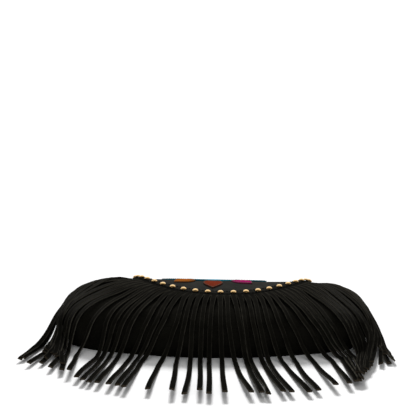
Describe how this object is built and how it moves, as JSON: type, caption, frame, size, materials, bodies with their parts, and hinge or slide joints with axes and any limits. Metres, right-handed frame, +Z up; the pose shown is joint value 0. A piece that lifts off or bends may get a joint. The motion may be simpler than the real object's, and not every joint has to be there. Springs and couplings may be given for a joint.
{
  "type": "fringed flap handbag",
  "caption": "Soft suede handbag lying on its back: stuffed pouch with an open mouth, half-round flap with a studded edge, leather rosette and long cut fringe that spreads onto the floor.",
  "frame": {"origin": "on the floor, on the outer face of the back panel, under the middle of the pouch", "axes": "+Z up, out of the bag's front; +X to the right seen from its bottom edge; -Y to its bottom edge, +Y to its mouth"},
  "size_m": [0.318, 0.3135, 0.0543],
  "materials": {
    "black_suede": "napped suede, almost black",
    "charcoal_suede": "napped suede, charcoal",
    "pale_gold": "polished",
    "teal_leather": "matt dyed leather",
    "rust_leather": "matt dyed leather",
    "magenta_leather": "matt dyed leather",
    "orange_leather": "matt dyed leather"
  },
  "bodies": {
    "root": {"back_panel": "black_suede", "gusset": "black_suede", "front_panel": "black_suede", "edge_band": "black_suede", "fringe": "black_suede", "flap": "charcoal_suede", "rosette_centre": "teal_leather", "petal_1": "rust_leather", "petal_2": "magenta_leather", "petal_3": "teal_leather", "petal_4": "orange_leather", "petal_5": "rust_leather", "petal_6": "magenta_leather", "petal_7": "teal_leather", "petal_8": "orange_leather", "stud_01": "pale_gold", "stud_02": "pale_gold", "stud_03": "pale_gold", "stud_04": "pale_gold", "stud_05": "pale_gold", "stud_06": "pale_gold", "stud_07": "pale_gold", "stud_08": "pale_gold", "stud_09": "pale_gold", "stud_10": "pale_gold", "stud_11": "pale_gold", "stud_12": "pale_gold", "stud_13": "pale_gold", "stud_14": "pale_gold", "stud_15": "pale_gold", "stud_16": "pale_gold", "stud_17": "pale_gold", "stud_18": "pale_gold", "stud_19": "pale_gold", "stud_20": "pale_gold", "stud_21": "pale_gold", "stud_22": "pale_gold", "stud_23": "pale_gold", "stud_24": "pale_gold", "stud_25": "pale_gold", "stud_26": "pale_gold", "stud_27": "pale_gold", "stud_28": "pale_gold", "stud_29": "pale_gold"}
  },
  "joints": []
}
